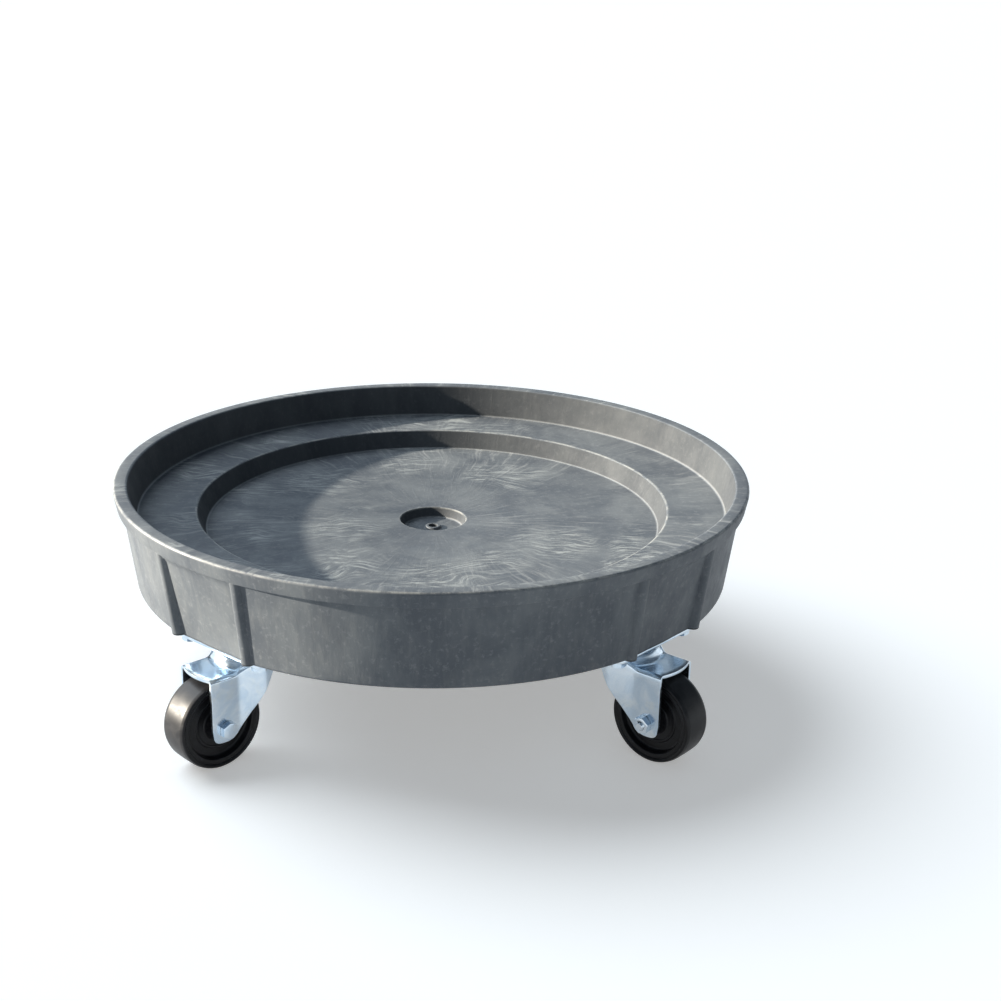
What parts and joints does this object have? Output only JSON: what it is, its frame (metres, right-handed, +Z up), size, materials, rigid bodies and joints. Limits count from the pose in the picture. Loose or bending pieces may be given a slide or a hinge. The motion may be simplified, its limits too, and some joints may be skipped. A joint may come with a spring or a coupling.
{
  "type": "drum dolly",
  "caption": "Round moulded dolly deck with nested recesses for a large or a small drum, carried on free-turning swivel casters with bolted top plates.",
  "frame": {"origin": "on the floor, under the centre of the round deck", "axes": "+Z up along the deck's axis; -Y to the front, midway between the front casters; +X to the right"},
  "size_m": [0.65, 0.65, 0.222],
  "materials": {
    "deck_plastic": "moulded recycled polyethylene, dark grey, faintly mottled, semi-matte",
    "zinc_plate": "bright zinc plate with a cool blue tint",
    "bearing_steel": "bright hardened steel, lightly greased",
    "wheel_rubber": "black hard rubber, slightly glossy"
  },
  "bodies": {
    "deck": {"deck": "deck_plastic", "front_left_top_plate": "zinc_plate", "front_left_kingpin": "zinc_plate", "front_left_lower_race": "zinc_plate", "front_left_mount_bolt_1": "zinc_plate", "front_left_mount_bolt_2": "zinc_plate", "front_left_mount_bolt_3": "zinc_plate", "front_left_mount_bolt_4": "zinc_plate", "front_right_top_plate": "zinc_plate", "front_right_kingpin": "zinc_plate", "front_right_lower_race": "zinc_plate", "front_right_mount_bolt_1": "zinc_plate", "front_right_mount_bolt_2": "zinc_plate", "front_right_mount_bolt_3": "zinc_plate", "front_right_mount_bolt_4": "zinc_plate", "rear_right_top_plate": "zinc_plate", "rear_right_kingpin": "zinc_plate", "rear_right_lower_race": "zinc_plate", "rear_right_mount_bolt_1": "zinc_plate", "rear_right_mount_bolt_2": "zinc_plate", "rear_right_mount_bolt_3": "zinc_plate", "rear_right_mount_bolt_4": "zinc_plate", "rear_left_top_plate": "zinc_plate", "rear_left_kingpin": "zinc_plate", "rear_left_lower_race": "zinc_plate", "rear_left_mount_bolt_1": "zinc_plate", "rear_left_mount_bolt_2": "zinc_plate", "rear_left_mount_bolt_3": "zinc_plate", "rear_left_mount_bolt_4": "zinc_plate"},
    "front_left_swivel": {"front_left_swivel_bearing": "bearing_steel", "front_left_fork": "zinc_plate", "front_left_axle_bolt": "zinc_plate", "front_left_axle_nut": "zinc_plate", "front_left_axle_sleeve": "zinc_plate"},
    "front_left_wheel": {"front_left_roller_bearing": "bearing_steel", "front_left_wheel": "wheel_rubber"},
    "front_right_swivel": {"front_right_swivel_bearing": "bearing_steel", "front_right_fork": "zinc_plate", "front_right_axle_bolt": "zinc_plate", "front_right_axle_nut": "zinc_plate", "front_right_axle_sleeve": "zinc_plate"},
    "front_right_wheel": {"front_right_roller_bearing": "bearing_steel", "front_right_wheel": "wheel_rubber"},
    "rear_right_swivel": {"rear_right_swivel_bearing": "bearing_steel", "rear_right_fork": "zinc_plate", "rear_right_axle_bolt": "zinc_plate", "rear_right_axle_nut": "zinc_plate", "rear_right_axle_sleeve": "zinc_plate"},
    "rear_right_wheel": {"rear_right_roller_bearing": "bearing_steel", "rear_right_wheel": "wheel_rubber"},
    "rear_left_swivel": {"rear_left_swivel_bearing": "bearing_steel", "rear_left_fork": "zinc_plate", "rear_left_axle_bolt": "zinc_plate", "rear_left_axle_nut": "zinc_plate", "rear_left_axle_sleeve": "zinc_plate"},
    "rear_left_wheel": {"rear_left_roller_bearing": "bearing_steel", "rear_left_wheel": "wheel_rubber"}
  },
  "joints": [
    {"name": "front_left_swivel_turn", "type": "hinge", "parent": "deck", "child": "front_left_swivel", "pos_m": [-0.18279, -0.18279, 0.1], "axis": [0, 0, 1], "continuous": true},
    {"name": "front_left_wheel_spin", "type": "hinge", "parent": "front_left_swivel", "child": "front_left_wheel", "pos_m": [-0.21522, -0.20868, 0.0445], "axis": [0.6239, -0.7815, 0], "continuous": true},
    {"name": "front_right_swivel_turn", "type": "hinge", "parent": "deck", "child": "front_right_swivel", "pos_m": [0.18279, -0.18279, 0.1], "axis": [0, 0, 1], "continuous": true},
    {"name": "front_right_wheel_spin", "type": "hinge", "parent": "front_right_swivel", "child": "front_right_wheel", "pos_m": [0.21294, -0.2113, 0.0445], "axis": [0.6871, 0.7266, 0], "continuous": true},
    {"name": "rear_right_swivel_turn", "type": "hinge", "parent": "deck", "child": "rear_right_swivel", "pos_m": [0.18279, 0.18279, 0.1], "axis": [0, 0, 1], "continuous": true},
    {"name": "rear_right_wheel_spin", "type": "hinge", "parent": "rear_right_swivel", "child": "rear_right_wheel", "pos_m": [0.21213, 0.21213, 0.0445], "axis": [-0.7071, 0.7071, 0], "continuous": true},
    {"name": "rear_left_swivel_turn", "type": "hinge", "parent": "deck", "child": "rear_left_swivel", "pos_m": [-0.18279, 0.18279, 0.1], "axis": [0, 0, 1], "continuous": true},
    {"name": "rear_left_wheel_spin", "type": "hinge", "parent": "rear_left_swivel", "child": "rear_left_wheel", "pos_m": [-0.21213, 0.21213, 0.0445], "axis": [-0.7071, -0.7071, 0], "continuous": true}
  ]
}
